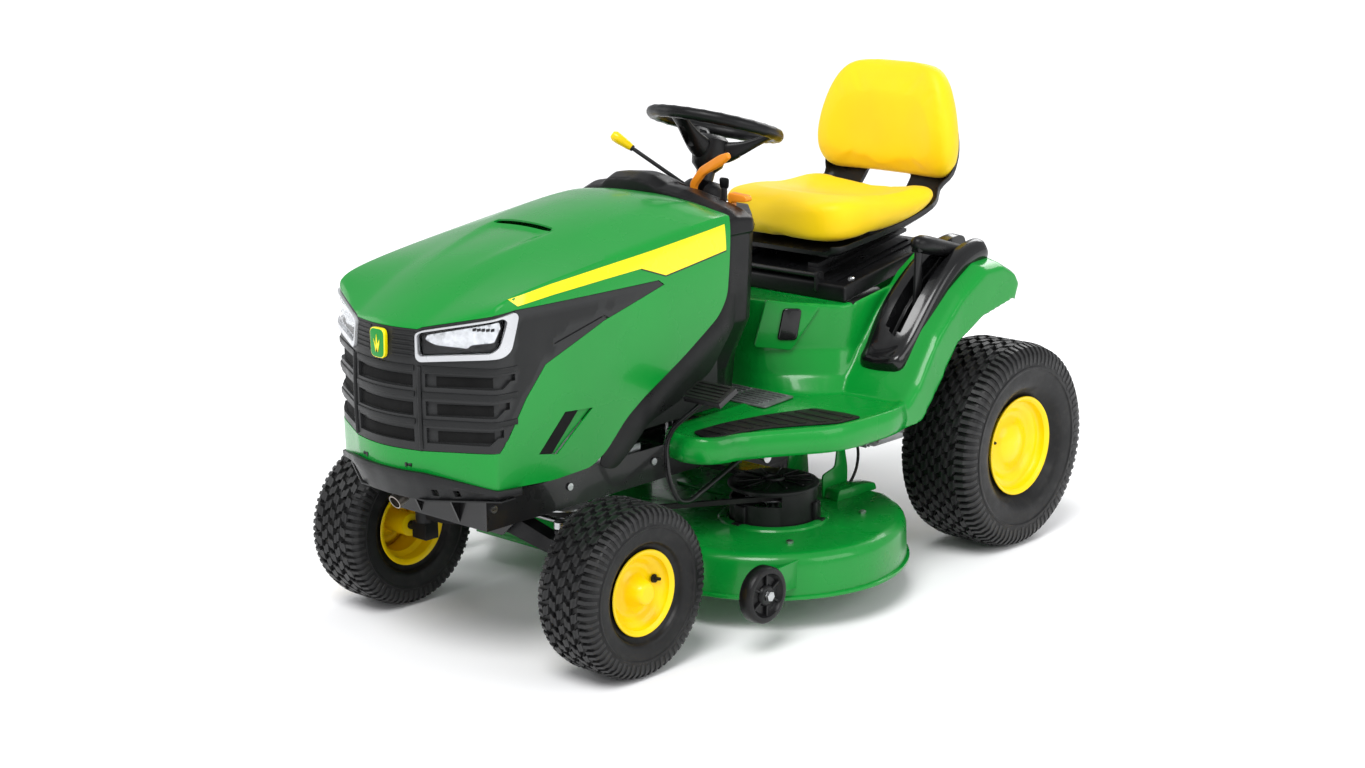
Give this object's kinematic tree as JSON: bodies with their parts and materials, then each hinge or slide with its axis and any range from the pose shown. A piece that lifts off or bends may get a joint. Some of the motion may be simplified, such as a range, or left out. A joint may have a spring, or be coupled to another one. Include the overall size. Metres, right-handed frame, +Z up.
{
  "type": "riding lawn mower",
  "caption": "Riding lawn tractor with a mid-mounted mowing deck, tilting hood, working steering, pedals, lift lever and a sliding seat.",
  "frame": {"origin": "on the ground, under the centre of the outer box", "axes": "+Z up, +Y towards the rear, +X towards the driver's left"},
  "size_m": [1.255, 1.8294, 1.116],
  "materials": {
    "green_paint": "gloss",
    "yellow_paint": "gloss",
    "yellow_vinyl": "satin",
    "black_paint": "satin",
    "black_plastic": "textured",
    "charcoal_plastic": "textured",
    "green_plastic": "gloss",
    "yellow_plastic": "gloss",
    "orange_plastic": "gloss",
    "rubber": "matte",
    "tyre": "matte",
    "steel": "brushed",
    "cast_iron": "rough",
    "aluminium": "cast",
    "lens": "clear"
  },
  "bodies": {
    "chassis": {"frame_rails": "black_paint", "frame_cross_members": "black_paint", "frame_bolts": "steel", "engine_block": "aluminium", "engine_shroud": "black_plastic", "muffler": "steel", "fuel_tank": "black_plastic", "transaxle": "aluminium", "fender_deck": "green_paint", "foot_mats": "rubber", "lift_console": "black_plastic", "dash_tower": "black_plastic", "front_bumper": "black_plastic", "seat_platform": "black_plastic", "drive_belt": "rubber", "pto_cable": "rubber"},
    "front_axle": {"front_axle": "cast_iron"},
    "left_spindle": {"left_spindle": "steel"},
    "right_spindle": {"right_spindle": "steel"},
    "tie_rod": {"tie_rod": "steel"},
    "drag_link": {"drag_link": "steel"},
    "front_left_wheel": {"front_left_tyre": "tyre", "front_left_rim": "yellow_paint"},
    "front_right_wheel": {"front_right_tyre": "tyre", "front_right_rim": "yellow_paint"},
    "rear_left_wheel": {"rear_left_tyre": "tyre", "rear_left_rim": "yellow_paint"},
    "rear_right_wheel": {"rear_right_tyre": "tyre", "rear_right_rim": "yellow_paint"},
    "steering_wheel": {"steering_wheel": "black_plastic"},
    "steering_shaft": {"steering_shaft": "steel"},
    "sector_gear": {"sector_gear": "steel"},
    "hood": {"hood_shell": "green_plastic", "grille": "charcoal_plastic", "headlights": "lens"},
    "throttle_lever": {"throttle_lever": "orange_plastic"},
    "pto_lever": {"pto_lever": "yellow_plastic"},
    "park_brake_lever": {"park_brake_lever": "orange_plastic"},
    "ignition_key": {"ignition_key": "steel"},
    "brake_pedal": {"brake_pedal": "black_paint"},
    "forward_pedal": {"forward_pedal": "black_paint"},
    "reverse_pedal": {"reverse_pedal": "black_paint"},
    "seat_base": {"seat_bracket": "black_paint"},
    "seat": {"seat_shell": "black_plastic", "seat_cushion": "yellow_vinyl", "seat_backrest": "yellow_vinyl"},
    "lift_lever": {"lift_lever": "black_plastic"},
    "lift_button": {"lift_button": "black_plastic"},
    "lift_shaft": {"lift_shaft": "steel"},
    "deck": {"deck_shell": "green_paint", "belt_covers": "black_plastic", "deck_belt": "rubber"},
    "left_blade": {"left_blade": "steel"},
    "right_blade": {"right_blade": "steel"},
    "discharge_chute": {"discharge_chute": "black_plastic"},
    "left_gauge_wheel": {"left_gauge_wheel": "black_plastic"},
    "right_gauge_wheel": {"right_gauge_wheel": "black_plastic"},
    "engine_pulley": {"engine_pulley": "steel"},
    "transaxle_pulley": {"transaxle_pulley": "steel"},
    "fuel_cap": {"fuel_cap": "black_plastic"}
  },
  "joints": [
    {"name": "front_axle_tilt", "type": "hinge", "parent": "chassis", "child": "front_axle", "pos_m": [0.0725, -0.58025, 0.262], "axis": [0, 1, 0], "range_deg": [-3, 3]},
    {"name": "left_steer", "type": "hinge", "parent": "front_axle", "child": "left_spindle", "pos_m": [0.3225, -0.58025, 0.184], "axis": [0, 0, 1], "range_deg": [-38, 38]},
    {"name": "right_steer", "type": "hinge", "parent": "front_axle", "child": "right_spindle", "pos_m": [-0.1775, -0.58025, 0.184], "axis": [0, 0, 1], "range_deg": [-38, 38]},
    {"name": "tie_rod_swing", "type": "hinge", "parent": "left_spindle", "child": "tie_rod", "pos_m": [0.3225, -0.49025, 0.282], "axis": [0, 0, 1], "range_deg": [-38, 38]},
    {"name": "drag_link_swing", "type": "hinge", "parent": "left_spindle", "child": "drag_link", "pos_m": [0.2525, -0.58025, 0.282], "axis": [0, 0, 1], "range_deg": [-38, 38]},
    {"name": "front_left_roll", "type": "hinge", "parent": "left_spindle", "child": "front_left_wheel", "pos_m": [0.4325, -0.58025, 0.184], "axis": [1, 0, 0], "continuous": true},
    {"name": "front_right_roll", "type": "hinge", "parent": "right_spindle", "child": "front_right_wheel", "pos_m": [-0.2875, -0.58025, 0.184], "axis": [1, 0, 0], "continuous": true},
    {"name": "rear_left_roll", "type": "hinge", "parent": "chassis", "child": "rear_left_wheel", "pos_m": [0.4695, 0.66675, 0.248], "axis": [1, 0, 0], "continuous": true},
    {"name": "rear_right_roll", "type": "hinge", "parent": "chassis", "child": "rear_right_wheel", "pos_m": [-0.3245, 0.66675, 0.248], "axis": [1, 0, 0], "continuous": true},
    {"name": "steering_turn", "type": "hinge", "parent": "chassis", "child": "steering_wheel", "pos_m": [0.0725, 0.11525, 1.039], "axis": [0, 0.2976, 0.9547], "range_deg": [-190, 190]},
    {"name": "steering_shaft_turn", "type": "hinge", "parent": "chassis", "child": "steering_shaft", "pos_m": [0.0725, -0.05275, 0.4], "axis": [0, 0, 1], "range_deg": [-190, 190]},
    {"name": "sector_turn", "type": "hinge", "parent": "chassis", "child": "sector_gear", "pos_m": [0.10536, 0.00906, 0.31], "axis": [0, 0, 1], "range_deg": [-38, 38]},
    {"name": "hood_tilt", "type": "hinge", "parent": "chassis", "child": "hood", "pos_m": [0.0725, -0.89075, 0.46], "axis": [1, 0, 0], "range_deg": [0, 60]},
    {"name": "throttle", "type": "hinge", "parent": "chassis", "child": "throttle_lever", "pos_m": [0.0965, 0.01325, 0.872], "axis": [1, 0, 0], "range_deg": [-28, 14]},
    {"name": "pto_engage", "type": "hinge", "parent": "chassis", "child": "pto_lever", "pos_m": [0.0265, 0.08925, 0.884], "axis": [1, 0, 0], "range_deg": [-12, 24]},
    {"name": "park_brake_set", "type": "hinge", "parent": "chassis", "child": "park_brake_lever", "pos_m": [0.2295, -0.00675, 0.866], "axis": [1, 0, 0], "range_deg": [-20, 0]},
    {"name": "ignition_turn", "type": "hinge", "parent": "chassis", "child": "ignition_key", "pos_m": [0.1905, 0.01325, 0.9], "axis": [0, 0, 1], "range_deg": [-80, 0]},
    {"name": "brake_press", "type": "hinge", "parent": "chassis", "child": "brake_pedal", "pos_m": [0.3225, -0.06175, 0.342], "axis": [1, 0, 0], "range_deg": [0, 14], "stiffness_Nm_per_rad": 20, "springref_deg": -17.19},
    {"name": "forward_press", "type": "hinge", "parent": "chassis", "child": "forward_pedal", "pos_m": [-0.1555, -0.06175, 0.342], "axis": [1, 0, 0], "range_deg": [0, 10], "stiffness_Nm_per_rad": 20, "springref_deg": -14.32},
    {"name": "reverse_press", "type": "hinge", "parent": "chassis", "child": "reverse_pedal", "pos_m": [-0.2175, -0.06175, 0.342], "axis": [1, 0, 0], "range_deg": [0, 10], "stiffness_Nm_per_rad": 20, "springref_deg": -14.32},
    {"name": "seat_tilt", "type": "hinge", "parent": "chassis", "child": "seat_base", "pos_m": [0.0725, 0.30125, 0.677], "axis": [1, 0, 0], "range_deg": [0, 45]},
    {"name": "seat_slide", "type": "slide", "parent": "seat_base", "child": "seat", "axis": [0, 0.9848, 0.1736], "range_m": [-0.05, 0.05]},
    {"name": "lift_lever_turn", "type": "hinge", "parent": "chassis", "child": "lift_lever", "pos_m": [0.4125, 0.42325, 0.43], "axis": [1, 0, 0], "range_deg": [-2, 22]},
    {"name": "lift_button_press", "type": "slide", "parent": "lift_lever", "child": "lift_button", "axis": [0, -0.9677, 0.2522], "range_m": [0, 0.005], "stiffness_N_per_m": 300, "springref_m": -0.003},
    {"name": "lift_shaft_turn", "type": "hinge", "parent": "chassis", "child": "lift_shaft", "pos_m": [0.0725, 0.28325, 0.28], "axis": [1, 0, 0], "range_deg": [-2, 44]},
    {"name": "deck_lift", "type": "slide", "parent": "chassis", "child": "deck", "axis": [0, 0, 1], "range_m": [-0.07, 0], "deforming": ["deck_belt"]},
    {"name": "left_blade_spin", "type": "hinge", "parent": "deck", "child": "left_blade", "pos_m": [0.3345, 0.01325, 0.11], "axis": [0, 0, 1], "continuous": true},
    {"name": "right_blade_spin", "type": "hinge", "parent": "deck", "child": "right_blade", "pos_m": [-0.1895, 0.01325, 0.11], "axis": [0, 0, 1], "continuous": true},
    {"name": "chute_flip", "type": "hinge", "parent": "deck", "child": "discharge_chute", "pos_m": [-0.4725, 0.04325, 0.19], "axis": [0, 1, 0], "range_deg": [0, 95], "stiffness_Nm_per_rad": 2, "springref_deg": -34.38},
    {"name": "left_gauge_roll", "type": "hinge", "parent": "deck", "child": "left_gauge_wheel", "pos_m": [0.5875, -0.31675, 0.135], "axis": [1, 0, 0], "continuous": true},
    {"name": "right_gauge_roll", "type": "hinge", "parent": "deck", "child": "right_gauge_wheel", "pos_m": [-0.4425, -0.31675, 0.135], "axis": [1, 0, 0], "continuous": true},
    {"name": "engine_spin", "type": "hinge", "parent": "chassis", "child": "engine_pulley", "pos_m": [0.0725, -0.39675, 0.3], "axis": [0, 0, 1], "continuous": true},
    {"name": "transaxle_pulley_spin", "type": "hinge", "parent": "chassis", "child": "transaxle_pulley", "pos_m": [0.0725, 0.64325, 0.346], "axis": [0, 0, 1], "continuous": true},
    {"name": "fuel_cap_turn", "type": "hinge", "parent": "chassis", "child": "fuel_cap", "pos_m": [0.0725, 0.52325, 0.64], "axis": [0, 0, 1], "range_deg": [0, 180]}
  ],
  "couplings": [
    {"joint": "left_steer", "follows": "steering_turn", "ratio": 0.2},
    {"joint": "right_steer", "follows": "steering_turn", "ratio": 0.2},
    {"joint": "tie_rod_swing", "follows": "steering_turn", "ratio": -0.2},
    {"joint": "drag_link_swing", "follows": "steering_turn", "ratio": -0.2},
    {"joint": "steering_shaft_turn", "follows": "steering_turn", "ratio": 1},
    {"joint": "sector_turn", "follows": "steering_turn", "ratio": 0.2},
    {"joint": "lift_shaft_turn", "follows": "deck_lift", "rad_per_m": -10.2},
    {"joint": "lift_lever_turn", "follows": "deck_lift", "rad_per_m": -5},
    {"joint": "transaxle_pulley_spin", "follows": "engine_spin", "ratio": 0.71429},
    {"joint": "left_blade_spin", "follows": "engine_spin", "ratio": 0.83333},
    {"joint": "right_blade_spin", "follows": "engine_spin", "ratio": 0.83333}
  ]
}
